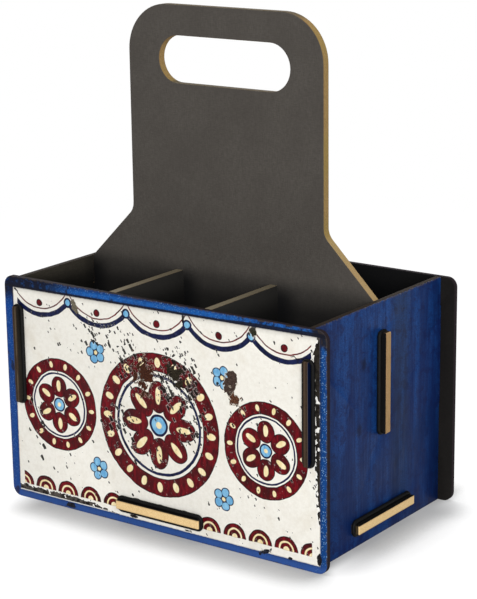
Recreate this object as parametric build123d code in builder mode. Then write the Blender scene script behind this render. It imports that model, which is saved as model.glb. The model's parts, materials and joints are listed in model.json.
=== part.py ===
import os
from math import radians, tan

from build123d import *

os.makedirs("parts", exist_ok=True)

# Flat-pack bottle caddy, six cells. The origin is on the floor under the middle of the
# base, the printed front panel faces -Y and +Z is up. All sizes are in millimetres.

# Box of four printed boards
box_width = 235.0  # front and back panels, left to right
box_height = 142.0
box_depth = 143.0  # outer face of the front panel to outer face of the back panel
outer_board = 3.5
side_overhang = 9.5  # how far the front and back panels run past the side panels
panel_corner_radius = 6.0

# Inner boards
inner_board = 5.4
base_height = 10.0  # underside of the base above the floor
divider_pitch = 70.0  # centre to centre
divider_end_gap = 0.3

# Handle panel
handle_height = 303.5
neck_width = 141.0
handle_corner_radius = 28.6
shoulder_angle = 45.0  # from the horizontal
shoulder_fillet = 10.0
hand_hole_length = 95.0
hand_hole_height = 28.6
hand_hole_drop = 32.5  # from the top of the handle to the middle of the hole

# Tabs and the slots they pass through
upright_tab_share = 0.429  # of the height of the box
upright_tab_drop = 17.8  # from the rim to the top of the tab
base_tab_length = 62.0
front_tab_reach = 4.4  # past the outer face of the front or back panel
side_tab_reach = 5.2  # past the outer face of a side panel
tab_tip_radius = 0.8
slot_clearance = 0.15  # each side of a board in its slot
cut_overrun = 1.0
tab_root = 1.0  # overlap of a tab with the board it grows from

# Rubber rings, seated in notches at the two ends of each tab
ring_cord = 2.4  # thickness of the rubber, square with bevelled edges
ring_bevel = 0.65
ring_inner_radius = 0.3  # where the stretched ring is bent round the corners of the tab
ring_outer_radius = 4.0
ring_side_gap = 0.1  # between the ring and the broad faces of the tab
ring_seat_gap = 0.05  # between the ring and the panel it bears on
notch_depth = 1.4
notch_width = 2.6
ring_end_gap = 0.1  # between the ring and the floor of the notch

# Worked-out sizes
inner_depth = box_depth - 2 * outer_board
side_outer = box_width / 2 - side_overhang
side_inner = side_outer - outer_board
side_centre = side_outer - outer_board / 2
base_top = base_height + inner_board
base_centre = base_height + inner_board / 2
half_lap_height = (base_top + box_height) / 2
upright_tab_length = upright_tab_share * box_height
upright_tab_centre = box_height - upright_tab_drop - upright_tab_length / 2
hand_hole_centre = handle_height - hand_hole_drop
slot_board = inner_board + 2 * slot_clearance
slot_outer_board = outer_board + 2 * slot_clearance
upright_slot_length = upright_tab_length + 2 * slot_clearance
base_slot_length = base_tab_length + 2 * slot_clearance
shoulder_run = side_inner - neck_width / 2
shoulder_top = box_height + shoulder_run * tan(radians(shoulder_angle))
divider_length = inner_depth - 2 * divider_end_gap

front_face = Plane.XZ.offset(box_depth / 2)
back_face = Plane(origin=(0, box_depth / 2, 0), x_dir=(-1, 0, 0), z_dir=(0, 1, 0))
right_face = Plane.YZ.offset(side_outer)
left_face = Plane(origin=(-side_outer, 0, 0), x_dir=(0, -1, 0), z_dir=(-1, 0, 0))


def notched_tab(length, reach):
    """Tab that points along +X from the edge of its board at X = 0."""
    tip = outer_board + reach
    notch_middle = outer_board + notch_width / 2
    with BuildSketch() as shape:
        with Locations((tip / 2, 0)):
            Rectangle(tip, length)
        fillet(shape.vertices().group_by(Axis.X)[-1], tab_tip_radius)
        with Locations((notch_middle, length / 2), (notch_middle, -length / 2)):
            Rectangle(notch_width, 2 * notch_depth, mode=Mode.SUBTRACT)
        with Locations((0, 0)):
            Rectangle(2 * tab_root, length)
    return shape.sketch


upright_tab = notched_tab(upright_tab_length, front_tab_reach)
handle_tab = notched_tab(upright_tab_length, side_tab_reach)
base_front_tab = notched_tab(base_tab_length, front_tab_reach)
base_side_tab = notched_tab(base_tab_length, side_tab_reach)

# Printed front panel, slotted for both side panels and the base
with BuildPart() as front_panel:
    with BuildSketch(front_face):
        with Locations((0, box_height / 2)):
            RectangleRounded(box_width, box_height, panel_corner_radius)
        with Locations((-side_centre, upright_tab_centre), (side_centre, upright_tab_centre)):
            Rectangle(slot_outer_board, upright_slot_length, mode=Mode.SUBTRACT)
        with Locations((0, base_centre)):
            Rectangle(base_slot_length, slot_board, mode=Mode.SUBTRACT)
    extrude(amount=-outer_board)

with BuildPart() as back_panel:
    mirror(front_panel.part, about=Plane.XZ)

# Side panel with tabs through the front and back, slotted for the handle panel and the base
with BuildPart() as right_panel:
    with BuildSketch(right_face):
        with Locations((0, box_height / 2)):
            Rectangle(inner_depth, box_height)
        with Locations(Location((inner_depth / 2, upright_tab_centre), 0)):
            add(upright_tab)
        with Locations(Location((-inner_depth / 2, upright_tab_centre), 180)):
            add(upright_tab)
        with Locations((0, upright_tab_centre)):
            Rectangle(slot_board, upright_slot_length, mode=Mode.SUBTRACT)
        with Locations((0, base_centre)):
            Rectangle(base_slot_length, slot_board, mode=Mode.SUBTRACT)
    extrude(amount=-outer_board)

with BuildPart() as left_panel:
    mirror(right_panel.part, about=Plane.YZ)

# Raised floor with one tab on each side
with BuildPart() as base_panel:
    with BuildSketch(Plane.XY.offset(base_height)):
        Rectangle(2 * side_inner, inner_depth)
        with Locations(Location((side_inner, 0), 0), Location((-side_inner, 0), 180)):
            add(base_side_tab)
        with Locations(Location((0, inner_depth / 2), 90), Location((0, -inner_depth / 2), 270)):
            add(base_front_tab)
    extrude(amount=inner_board)

# Tall centre panel with the hand hole, a tab through each side panel and two half-lap
# slots open at the bottom
with BuildPart() as handle_panel:
    with BuildSketch(Plane.XZ) as handle_outline:
        Polygon(
            (-side_inner, base_top),
            (side_inner, base_top),
            (side_inner, box_height),
            (neck_width / 2, shoulder_top),
            (neck_width / 2, handle_height),
            (-neck_width / 2, handle_height),
            (-neck_width / 2, shoulder_top),
            (-side_inner, box_height),
            align=None,
        )
        fillet(handle_outline.vertices().group_by(Axis.Y)[-1], handle_corner_radius)
        fillet(handle_outline.vertices().group_by(Axis.Y)[2], shoulder_fillet)
        with Locations((0, hand_hole_centre)):
            SlotOverall(hand_hole_length, hand_hole_height, mode=Mode.SUBTRACT)
        with Locations(
            Location((side_inner, upright_tab_centre), 0),
            Location((-side_inner, upright_tab_centre), 180),
        ):
            add(handle_tab)
        handle_slot_height = half_lap_height - base_top + cut_overrun
        with Locations(
            (-divider_pitch / 2, half_lap_height - handle_slot_height / 2),
            (divider_pitch / 2, half_lap_height - handle_slot_height / 2),
        ):
            Rectangle(slot_board, handle_slot_height, mode=Mode.SUBTRACT)
    extrude(amount=inner_board / 2, both=True)

# Dividers from front to back, each with a half-lap slot open at the top
divider_slot_height = box_height - half_lap_height + cut_overrun
with BuildPart() as divider_right:
    with BuildSketch(Plane.YZ.offset(divider_pitch / 2)):
        with Locations((0, (base_top + box_height) / 2)):
            Rectangle(divider_length, box_height - base_top)
        with Locations((0, half_lap_height + divider_slot_height / 2)):
            Rectangle(slot_board, divider_slot_height, mode=Mode.SUBTRACT)
    extrude(amount=inner_board / 2, both=True)

with BuildPart() as divider_left:
    mirror(divider_right.part, about=Plane.YZ)

panels = {
    "front_panel": front_panel,
    "back_panel": back_panel,
    "left_panel": left_panel,
    "right_panel": right_panel,
    "base_panel": base_panel,
    "handle_panel": handle_panel,
    "divider_left": divider_left,
    "divider_right": divider_right,
}
for name, panel in panels.items():
    panel.part.label = name
    export_step(panel.part, f"parts/{name}.step")

# Each ring goes round one tab: the face it bears on, the middle of the tab in that face,
# and the length and thickness of the tab across the face
level, upright = 0, 90
ring_seats = {
    "ring_front_left": (front_face, (-side_centre, upright_tab_centre), upright),
    "ring_front_right": (front_face, (side_centre, upright_tab_centre), upright),
    "ring_front_base": (front_face, (0, base_centre), level),
    "ring_back_left": (back_face, (side_centre, upright_tab_centre), upright),
    "ring_back_right": (back_face, (-side_centre, upright_tab_centre), upright),
    "ring_back_base": (back_face, (0, base_centre), level),
    "ring_left_handle": (left_face, (0, upright_tab_centre), upright),
    "ring_left_base": (left_face, (0, base_centre), level),
    "ring_right_handle": (right_face, (0, upright_tab_centre), upright),
    "ring_right_base": (right_face, (0, base_centre), level),
}
outer_board_rings = ("ring_front_left", "ring_front_right", "ring_back_left", "ring_back_right")
for name, (face, middle, turn) in ring_seats.items():
    tab_length = upright_tab_length if turn == upright else base_tab_length
    tab_thickness = outer_board if name in outer_board_rings else inner_board
    hole_length = tab_length - 2 * notch_depth + 2 * ring_end_gap
    hole_width = tab_thickness + 2 * ring_side_gap
    seat = face.offset(ring_seat_gap) * Location(middle, turn)
    with BuildPart() as ring:
        with BuildSketch(Plane(seat)):
            RectangleRounded(
                hole_length + 2 * ring_cord,
                hole_width + 2 * ring_cord,
                ring_outer_radius,
            )
            RectangleRounded(hole_length, hole_width, ring_inner_radius, mode=Mode.SUBTRACT)
        extrude(amount=ring_cord)
        chamfer(ring.edges().filter_by(Plane(seat)), ring_bevel)
    ring.part.label = name
    export_step(ring.part, f"parts/{name}.step")
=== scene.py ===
import json
import math

import bpy
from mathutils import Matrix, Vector

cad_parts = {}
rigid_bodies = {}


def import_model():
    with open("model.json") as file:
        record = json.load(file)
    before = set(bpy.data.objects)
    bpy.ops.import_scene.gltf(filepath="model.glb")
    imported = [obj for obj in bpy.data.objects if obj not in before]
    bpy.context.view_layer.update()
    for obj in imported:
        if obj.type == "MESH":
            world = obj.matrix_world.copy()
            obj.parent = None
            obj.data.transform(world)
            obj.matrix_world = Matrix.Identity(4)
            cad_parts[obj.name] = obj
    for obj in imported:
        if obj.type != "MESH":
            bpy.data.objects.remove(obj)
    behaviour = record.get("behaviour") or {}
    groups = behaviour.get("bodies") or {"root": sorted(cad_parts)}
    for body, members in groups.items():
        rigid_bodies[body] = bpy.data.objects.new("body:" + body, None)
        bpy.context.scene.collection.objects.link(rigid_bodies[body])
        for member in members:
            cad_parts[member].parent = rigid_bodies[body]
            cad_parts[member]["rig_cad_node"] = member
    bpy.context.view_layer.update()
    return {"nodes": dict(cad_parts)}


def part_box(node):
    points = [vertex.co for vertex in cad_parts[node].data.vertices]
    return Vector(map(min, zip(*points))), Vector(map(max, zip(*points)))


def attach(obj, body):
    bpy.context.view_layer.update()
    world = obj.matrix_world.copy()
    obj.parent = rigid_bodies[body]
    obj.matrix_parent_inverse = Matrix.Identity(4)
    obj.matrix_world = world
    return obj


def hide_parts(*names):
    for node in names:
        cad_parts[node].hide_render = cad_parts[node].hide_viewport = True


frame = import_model()
nodes = frame["nodes"]
print("frame loaded:", len(nodes), "pieces")


# where the boards stand, read from the CAD pieces; the patterns count in millimetres as well

def corners(node):
    low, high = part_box(node)
    return [round(part * 1000, 2) for part in low], [round(part * 1000, 2) for part in high]


low, high = corners("front_panel")
boxSide = high[0]
boxTop = high[2]
panelFace = -low[1]
panelInner = -high[1]
panelMiddle = (panelFace + panelInner) / 2
low, high = corners("right_panel")
sideFace = high[0]
sideInner = low[0]
sideMiddle = (sideFace + sideInner) / 2
outerHalf = (sideFace - sideInner) / 2  # half the thickness of an outer board
frontTip = high[1]  # ends of the tabs on the front and back panels
low, high = corners("handle_panel")
handleTop = high[2]
innerHalf = high[1]  # half the thickness of an inner board
sideTip = high[0]  # ends of the tabs on the side panels
low, high = corners("divider_right")
dividerMiddle = (low[0] + high[0]) / 2
low, high = corners("base_panel")
baseMiddle = (low[2] + high[2]) / 2


# colours, and a shader tree with the few moves used on it again and again

def shade(red, green, blue):
    # display colour 0 to 255 as a linear colour
    linear = []
    for part in (red, green, blue):
        c = part / 255
        linear.append(c / 12.92 if c <= 0.04045 else ((c + 0.055) / 1.055) ** 2.4)
    return (*linear, 1.0)


def grey(level):
    return (level, level, level, 1.0)


class Bench:
    def __init__(self, tree):
        self.tree = tree

    def plug(self, socket, value):
        if isinstance(value, bpy.types.NodeSocket):
            self.tree.links.new(value, socket)
        else:
            socket.default_value = value

    def add(self, kind, settings=None, inputs=None):
        made = self.tree.nodes.new(kind)
        for name, value in (settings or {}).items():
            setattr(made, name, value)
        for name, value in (inputs or {}).items():
            self.plug(made.inputs[name], value)
        return made

    def calc(self, operation, *values):
        made = self.add("ShaderNodeMath", {"operation": operation})
        for socket, value in zip(made.inputs, values):
            self.plug(socket, value)
        return made.outputs[0]

    def chain(self, operation, first, *others):
        for other in others:
            first = self.calc(operation, first, other)
        return first

    def plus(self, *values):
        return self.chain("ADD", *values)

    def times(self, *values):
        return self.chain("MULTIPLY", *values)

    def most(self, *values):
        return self.chain("MAXIMUM", *values)

    def least(self, *values):
        return self.chain("MINIMUM", *values)

    def less(self, value, amount):
        return self.calc("SUBTRACT", value, amount)

    def without(self, value):
        return self.less(1.0, value)

    def scaled(self, value, factor, extra):
        # value times factor, plus something more
        return self.calc("MULTIPLY_ADD", value, factor, extra)

    def size(self, value):
        return self.calc("ABSOLUTE", value)

    def apart(self, value, middle):
        # how far a value is from the middle, either way
        return self.size(self.less(value, middle))

    def rise(self, value, low, high, start=0.0, end=1.0):
        # smooth step from low to high
        span = {"Value": value, "From Min": low, "From Max": high, "To Min": start, "To Max": end}
        return self.add("ShaderNodeMapRange", {"interpolation_type": "SMOOTHSTEP"}, span).outputs["Result"]

    def tone(self, factor, first, second):
        # a Mix node has its colour sockets after those for numbers and vectors
        made = self.add("ShaderNodeMix", {"data_type": "RGBA"}, {0: factor, 6: first, 7: second})
        return made.outputs[2]

    def coats(self, colour, layers):
        # colours laid over one another, each through its own mask
        for mask, tint in layers:
            colour = self.tone(mask, colour, tint)
        return colour

    def noise(self, place, scale, detail=2.0, rough=0.5, bend=0.0, output="Fac"):
        values = {"Vector": place, "Scale": scale, "Detail": detail, "Roughness": rough, "Distortion": bend}
        return self.add("ShaderNodeTexNoise", None, values).outputs[output]

    def cells(self, place, scale, flat=False, metric="EUCLIDEAN"):
        # distance to the nearest point and two random numbers that each cell keeps
        settings = {"feature": "F1", "voronoi_dimensions": "2D" if flat else "3D", "distance": metric}
        made = self.add("ShaderNodeTexVoronoi", settings, {"Vector": place, "Scale": scale}).outputs
        random = self.add("ShaderNodeSeparateColor", None, {"Color": made["Color"]}).outputs
        return made["Distance"], random[0], random[1]

    def pull(self, place, scale, turn=(0, 0, 0)):
        values = {"Vector": place, "Scale": scale, "Rotation": [math.radians(part) for part in turn]}
        return self.add("ShaderNodeMapping", None, values).outputs[0]

    def lean(self, place, angle, stretch):
        # turned in the panel and drawn out along the turned upright
        values = {"Vector": place, "Scale": (1, stretch, 1), "Rotation": (0, 0, math.radians(angle))}
        return self.add("ShaderNodeMapping", {"vector_type": "TEXTURE"}, values).outputs[0]

    def split(self, place):
        return self.add("ShaderNodeSeparateXYZ", None, {"Vector": place}).outputs

    def join(self, x=0.0, y=0.0, z=0.0):
        return self.add("ShaderNodeCombineXYZ", None, {"X": x, "Y": y, "Z": z}).outputs[0]

    def move(self, operation, place, other):
        second = "Scale" if operation == "SCALE" else 1
        made = self.add("ShaderNodeVectorMath", {"operation": operation}, {0: place, second: other})
        return made.outputs[0]

    def stir(self, place, scale, reach, detail=2.0):
        # the place pushed about by up to a few millimetres
        push = self.noise(place, scale, detail, 0.6, 0.0, "Color")
        push = self.move("SUBTRACT", push, (0.5, 0.5, 0.5))
        push = self.move("SCALE", push, reach * 2)
        return self.move("ADD", place, push)

    def flatPlace(self, place, scale):
        # stirred place on a panel; y is the side that it faces, so the two panels get chips of their own
        panelsApart = 57.0
        x, y, z = self.split(place)
        stirred = self.stir(self.join(self.scaled(y, panelsApart, x), 0.0, z), scale, 0.6, 3.0)
        x, _, z = self.split(stirred)
        return self.join(x, z)

    def far(self, u, v, overU, overV):
        # distance from a point on the panel
        du = self.less(u, overU)
        dv = self.less(v, overV)
        return self.calc("SQRT", self.scaled(du, du, self.times(dv, dv)))

    def boardSides(self, depth, face, inner):
        # masks of the outer and the inner face of a board, short of its eased edges
        return self.rise(depth, face - 0.28, face - 0.12), self.rise(depth, inner + 0.2, inner + 0.06)

    def bump(self, height, strength, distance):
        values = {"Strength": strength, "Distance": distance, "Height": height}
        return self.add("ShaderNodeBump", None, values).outputs[0]

    def use(self, group, **inputs):
        made = self.tree.nodes.new("ShaderNodeGroup")
        made.node_tree = group
        for name, value in inputs.items():
            self.plug(made.inputs[name], value)
        return made.outputs


def newGroup(name, takes, gives):
    group = bpy.data.node_groups.new(name, "ShaderNodeTree")
    for label, kind, value in takes:
        socket = group.interface.new_socket(label, in_out="INPUT", socket_type="NodeSocket" + kind)
        if value is not None:
            socket.default_value = value
    for label, kind in gives:
        group.interface.new_socket(label, in_out="OUTPUT", socket_type="NodeSocket" + kind)
    source = group.nodes.new("NodeGroupInput").outputs
    target = group.nodes.new("NodeGroupOutput").inputs
    return group, Bench(group), source, target


def newFinish(name, specular):
    # a material on Object coordinates, counted in millimetres
    material = bpy.data.materials.new(name)
    material.use_nodes = True
    material.node_tree.nodes.clear()
    bench = Bench(material.node_tree)
    surface = bench.add("ShaderNodeBsdfPrincipled", None, {"Specular IOR Level": specular})
    bench.add("ShaderNodeOutputMaterial", None, {"Surface": surface.outputs[0]})
    place = bench.move("SCALE", bench.add("ShaderNodeTexCoord").outputs["Object"], 1000.0)
    return material, bench, surface.inputs, place


def dress(piece, material):
    piece.data.materials.clear()
    piece.data.materials.append(material)


# shared effects

# raw fibreboard, as on a sawn edge: fine layers along the board with darker fibres and scorched rims
fibreGroup, b, take, give = newGroup(
    "rawFibreEdge",
    [("Place", "Vector", None), ("Across", "Float", 0.0), ("Light", "Color", shade(224, 186, 122)),
     ("Dark", "Color", shade(190, 148, 88)), ("Rim", "Color", shade(92, 58, 34)), ("Scorch", "Float", 0.4)],
    [("Color", "Color"), ("Height", "Float"), ("Rough", "Float")])
fine = b.noise(take["Place"], 2.6, 3.0, 0.65)
coarse = b.noise(take["Place"], 0.35)
layer = b.noise(b.join(b.times(take["Across"], 2.4), 0.0, b.times(coarse, 1.5)), 1.0, 2.0, 0.6)
body = b.tone(b.rise(fine, 0.32, 0.68), take["Dark"], take["Light"])
body = b.tone(b.rise(layer, 0.42, 0.7, 0.0, 0.35), body, take["Dark"])
body = b.tone(b.rise(coarse, 0.4, 0.75, 0.0, 0.25), body, take["Light"])
rim = b.rise(b.size(take["Across"]), 0.62, 1.0)
rim = b.times(rim, take["Scorch"], b.rise(fine, 0.2, 0.6, 0.6, 1.0))
b.plug(give["Color"], b.tone(rim, body, take["Rim"]))
b.plug(give["Height"], b.scaled(fine, 0.6, b.times(layer, 0.4)))
b.plug(give["Rough"], b.rise(fine, 0.3, 0.7, 0.78, 0.92))

# rolled dark paint over pressed board: a faint linen grain and cloudy wear
rolledGroup, b, take, give = newGroup(
    "rolledDarkPaint",
    [("Place", "Vector", None), ("Light", "Color", shade(84, 80, 75)), ("Dark", "Color", shade(62, 59, 55)),
     ("Scuff", "Color", shade(120, 114, 106)), ("Cloud", "Float", 0.5)],
    [("Color", "Color"), ("Height", "Float"), ("Rough", "Float")])
weave = b.noise(b.pull(take["Place"], (1.0, 1.0, 0.16)), 2.0, 2.0, 0.6)
cross = b.noise(b.pull(take["Place"], (0.16, 0.16, 1.0)), 2.0, 2.0, 0.6)
linen = b.scaled(weave, 0.45, b.times(cross, 0.55))
cloudy = b.noise(take["Place"], 0.035, 3.0, 0.6)
paint = b.tone(b.rise(linen, 0.3, 0.7, 0.15, 0.85), take["Dark"], take["Light"])
paint = b.tone(b.times(b.rise(cloudy, 0.35, 0.7), take["Cloud"]), paint, take["Dark"])
scuff = b.noise(b.pull(take["Place"], (0.25, 0.25, 2.0), (0, 28, 12)), 0.5, 4.0, 0.7)
b.plug(give["Color"], b.tone(b.rise(scuff, 0.72, 0.82, 0.0, 0.2), paint, take["Scuff"]))
b.plug(give["Height"], linen)
b.plug(give["Rough"], b.rise(linen, 0.3, 0.7, 0.62, 0.8))

# chipped paint: small slanting flakes, more of them where Amount is high
chipGroup, b, take, give = newGroup(
    "chippedPaint",
    [("Place", "Vector", None), ("Amount", "Float", 0.1), ("Scale", "Float", 1.0)],
    [("Chip", "Float"), ("Rim", "Float")])
flat = b.flatPlace(take["Place"], b.times(take["Scale"], 1.2))
away, luck, size = b.cells(b.lean(flat, 32, 1.9), take["Scale"], True, "CHEBYCHEV")
reach = b.less(luck, b.without(take["Amount"]))
reach = b.times(b.rise(reach, 0.0, 0.05), b.scaled(size, 0.3, 0.17))
depth = b.less(reach, away)
chip = b.rise(depth, 0.0, 0.03)
b.plug(give["Chip"], chip)
b.plug(give["Rim"], b.times(b.rise(depth, -0.12, -0.03), b.rise(reach, 0.02, 0.1), b.without(chip)))

# paint flaked off in blocky bits wherever Reach is above zero; a few bits stay on
flakedGroup, b, take, give = newGroup(
    "flakedPaint",
    [("Place", "Vector", None), ("Reach", "Float", 0.0), ("Scale", "Float", 0.6), ("Jump", "Float", 2.0),
     ("Left", "Float", 0.2)],
    [("Gone", "Float"), ("Kept", "Float"), ("Rim", "Float")])
_, luck, size = b.cells(b.lean(b.flatPlace(take["Place"], 1.1), 20, 1.3), take["Scale"], True)
depth = b.scaled(b.less(luck, 0.5), take["Jump"], take["Reach"])
gone = b.rise(depth, -0.04, 0.04)
b.plug(give["Gone"], gone)
b.plug(give["Kept"], b.times(gone, b.rise(size, take["Left"], b.less(take["Left"], 0.01))))
b.plug(give["Rim"], b.times(b.rise(depth, -0.8, -0.3), b.without(gone)))

# blue stain over board: long fine streaks, broad dark bands, blots and a dusting of pale specks
blueGroup, b, take, give = newGroup(
    "streakedBlue",
    [("Place", "Vector", None), ("Light", "Color", shade(32, 74, 150)), ("Dark", "Color", shade(16, 24, 62)),
     ("Blot", "Color", shade(8, 10, 26)), ("Speck", "Color", shade(142, 184, 220)),
     ("Bands", "Float", 0.5), ("Specks", "Float", 0.0)],
    [("Color", "Color"), ("Height", "Float"), ("Rough", "Float")])
streak = b.noise(b.pull(take["Place"], (1.0, 1.0, 0.03)), 1.3, 3.0, 0.7)
wide = b.noise(b.pull(take["Place"], (1.0, 1.0, 0.12)), 0.085, 3.0, 0.6, 0.3)
cloudy = b.noise(take["Place"], 0.13, 4.0, 0.68, 0.6)
tick = b.noise(b.pull(take["Place"], (0.35, 0.35, 2.2)), 1.1, 3.0, 0.65)
grain = b.noise(take["Place"], 1.1, 3.0, 0.75)
blot, _, _ = b.cells(b.pull(take["Place"], (1.0, 1.0, 0.8)), 0.036)
blot = b.scaled(b.noise(take["Place"], 0.5, 3.0, 0.65), 0.16, blot)
speck, luck, size = b.cells(take["Place"], 1.2)
dusty = b.rise(b.noise(take["Place"], 0.12), 0.35, 0.65, 0.35, 1.0)
colour = b.tone(b.rise(streak, 0.35, 0.7, 0.0, 0.36), take["Light"], take["Dark"])
colour = b.coats(colour, (
    (b.rise(grain, 0.4, 0.64, 0.0, 0.55), take["Dark"]),
    (b.times(b.rise(wide, 0.4, 0.62), take["Bands"]), take["Dark"]),
    (b.times(b.rise(cloudy, 0.46, 0.66), b.plus(take["Bands"], 0.1), 0.9), take["Dark"]),
    (b.times(b.rise(tick, 0.55, 0.68), b.plus(take["Bands"], 0.15), 0.55), take["Dark"]),
    (b.times(b.rise(blot, 0.23, 0.13), take["Bands"], 0.95), take["Blot"]),
    (b.times(b.rise(speck, b.scaled(size, 0.3, 0.2), 0.1), b.rise(luck, 0.2, 0.4), dusty, take["Specks"]),
     take["Speck"]),
))
b.plug(give["Color"], colour)
b.plug(give["Height"], b.scaled(streak, 0.5, b.times(tick, 0.5)))
b.plug(give["Rough"], b.rise(streak, 0.3, 0.7, 0.34, 0.52))

print("shared effects made")

# painted shade on the walls of the cells: darker with depth, and lighter again towards the base

cellPaintedShade = {"tint": shade(9, 10, 12), "low": 60.0, "high": 122.0, "lowest": 0.4}


def cellShadeMask(z, start, full, much):
    lowAgain = b.rise(z, cellPaintedShade["low"], cellPaintedShade["high"], cellPaintedShade["lowest"], 1.0)
    return b.times(b.rise(z, start, full, 0.0, much), lowAgain)


# painted panel design: rosettes, swags, flowers and a hem in four colours

panelArt = {
    "soft": 0.14,  # softness of a painted edge
    "wobble": 0.7,  # how far a brush line wanders
    "halfWidth": 107.5,  # of the swags and the hem
    "maroon": (shade(74, 6, 16), shade(118, 12, 24)), "maroonFaded": shade(50, 16, 17),
    "gold": (shade(234, 213, 156), shade(249, 235, 196)),
    "navy": (shade(12, 17, 44), shade(24, 32, 74)),
    "sky": (shade(98, 160, 206), shade(142, 196, 226)),
    "outline": shade(34, 8, 16),
    "middle": {"u": 0.0, "v": 67.0, "radius": 43.5, "petals": 8, "turn": 0, "beads": 20},
    "side": {"u": 76.5, "v": 66.0, "radius": 28.5, "petals": 6, "turn": 30, "beads": 14},
    "rosette": {  # parts of a rosette as shares of its radius, a heart's as shares of its petal
        "hoop": 0.235, "beadLong": 0.07, "beadWide": 0.046, "lineGap": 0.07, "line": 0.04,
        "petalAt": 0.4, "petalLong": 0.215, "petalFill": 0.98,
        "heartShift": 0.02, "heartLong": 0.58, "heartWide": 0.3,
        "boss": 0.155, "bossRing": 0.118, "bossHeart": 0.045,
        "outlineWide": 0.55,  # millimetres
    },
    "swag": {
        "pitch": 44.8, "centre": 149.5,
        "radius": 28.6, "width": 3.0, "lowest": 116.0,
        "lineRadius": 24.6, "lineWidth": 0.8, "lineLowest": 118.0,
        "bossAt": 131.4, "boss": 3.1, "bossHeart": 1.9,
        "dropAt": 128.4, "drop": 1.8, "dropOutline": 0.5,
    },
    "flower": {
        "u": 46.5, "rows": (104.0, 31.0), "petals": 5, "petal": 3.1, "petalAt": 4.34,
        "outlineWide": 0.65, "boss": 1.922, "bossHeart": 1.24,
    },
    "hem": {
        "half": 9.0, "foot": 9.6, "radius": 7.5, "outlineWide": 0.6,
        "arc": 4.9, "arcWide": 1.1, "heart": 2.1,
    },
}

artGroup, b, take, give = newGroup(
    "paintedRosettes", [("Place", "Vector", None), ("Ground", "Color", None)],
    [("Color", "Color"), ("Paint", "Float")])
u, _, v = b.split(b.stir(take["Place"], 0.11, panelArt["wobble"]))
brush = b.noise(b.pull(take["Place"], (1.0, 1.0, 0.35)), 0.5, 3.0, 0.6)
streaky = b.rise(brush, 0.3, 0.7)
weathered = b.rise(b.noise(take["Place"], 0.06, 3.0, 0.65), 0.42, 0.66, 0.0, 0.7)
maroon = b.tone(b.rise(brush, 0.36, 0.66), *panelArt["maroon"])
maroon = b.tone(weathered, maroon, panelArt["maroonFaded"])
gold = b.tone(streaky, *panelArt["gold"])
navy = b.tone(streaky, *panelArt["navy"])
sky = b.tone(streaky, *panelArt["sky"])
outline = panelArt["outline"]
layers = []


def lay(mask, colour):
    layers.append((mask, colour))


def inside(distance, radius):
    return b.rise(distance, radius + panelArt["soft"], radius - panelArt["soft"])


def band(distance, radius, width):
    return inside(b.apart(distance, radius), width / 2)


def angleRound(across, overU, overV):
    return b.calc("ARCTAN2", b.less(v, overV), b.less(across, overU))


def alongAndAside(away, folded):
    return b.times(away, b.calc("COSINE", folded)), b.times(away, b.calc("SINE", folded))


def oval(along, aside, centre, halfLong, halfWide):
    x = b.calc("DIVIDE", b.less(along, centre), halfLong)
    y = b.calc("DIVIDE", aside, halfWide)
    edge = panelArt["soft"] / halfWide
    return b.rise(b.calc("SQRT", b.scaled(x, x, b.times(y, y))), 1 + edge, 1 - edge)


def rosette(across, spec):
    share = panelArt["rosette"]
    wider = share["outlineWide"]
    radius = spec["radius"]
    away = b.far(across, v, spec["u"], spec["v"])
    angle = angleRound(across, spec["u"], spec["v"])

    def spoke(number, turn):
        # the place folded into one of a number of equal slices
        wedge = 2 * math.pi / number
        folded = b.calc("FLOORED_MODULO", b.plus(angle, turn + wedge / 2), wedge)
        return alongAndAside(away, b.less(folded, wedge / 2))

    # beaded hoop and a thin line inside it
    hoop = radius * share["hoop"]
    hoopAt = radius - hoop / 2
    lay(band(away, hoopAt, hoop + 2 * wider), outline)
    lay(band(away, hoopAt, hoop), maroon)
    along, aside = spoke(spec["beads"], 0.0)
    lay(oval(along, aside, hoopAt, radius * share["beadLong"], radius * share["beadWide"]), gold)
    lay(band(away, radius - hoop - radius * share["lineGap"], radius * share["line"]), navy)
    # petals, each with a pale heart
    along, aside = spoke(spec["petals"], math.radians(spec["turn"]))
    petalAt = radius * share["petalAt"]
    halfLong = radius * share["petalLong"]
    halfWide = petalAt * math.sin(math.pi / spec["petals"]) * share["petalFill"]
    lay(oval(along, aside, petalAt, halfLong + wider, halfWide + wider), outline)
    lay(oval(along, aside, petalAt, halfLong, halfWide), maroon)
    heartAt = petalAt + radius * share["heartShift"]
    lay(oval(along, aside, heartAt, halfLong * share["heartLong"], halfWide * share["heartWide"]), gold)
    # boss
    lay(inside(away, radius * share["boss"]), navy)
    lay(inside(away, radius * share["bossRing"]), sky)
    lay(inside(away, radius * share["bossHeart"]), gold)


mirrored = b.size(u)
rosette(u, panelArt["middle"])
rosette(mirrored, panelArt["side"])

# swags along the top, a boss where two meet and a drop under the middle of each
swag = panelArt["swag"]
halfPitch = swag["pitch"] / 2
swing = b.calc("PINGPONG", b.plus(mirrored, halfPitch), halfPitch)  # 0 where two meet
inField = inside(mirrored, panelArt["halfWidth"])
hang = b.far(swing, v, halfPitch, swag["centre"])
aboveLowest = b.rise(v, swag["lowest"], swag["lowest"] + 1)
lay(b.times(band(hang, swag["radius"], swag["width"]), inField, aboveLowest), navy)
aboveLowest = b.rise(v, swag["lineLowest"], swag["lineLowest"] + 1)
lay(b.times(band(hang, swag["lineRadius"], swag["lineWidth"]), inField, aboveLowest), maroon)
boss = b.far(swing, v, 0.0, swag["bossAt"])
lay(b.times(inside(boss, swag["boss"]), inField), navy)
lay(b.times(inside(boss, swag["bossHeart"]), inField), sky)
drop = b.far(swing, v, halfPitch, swag["dropAt"])
lay(b.times(inside(drop, swag["drop"] + swag["dropOutline"]), inField), outline)
lay(b.times(inside(drop, swag["drop"]), inField), maroon)

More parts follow.
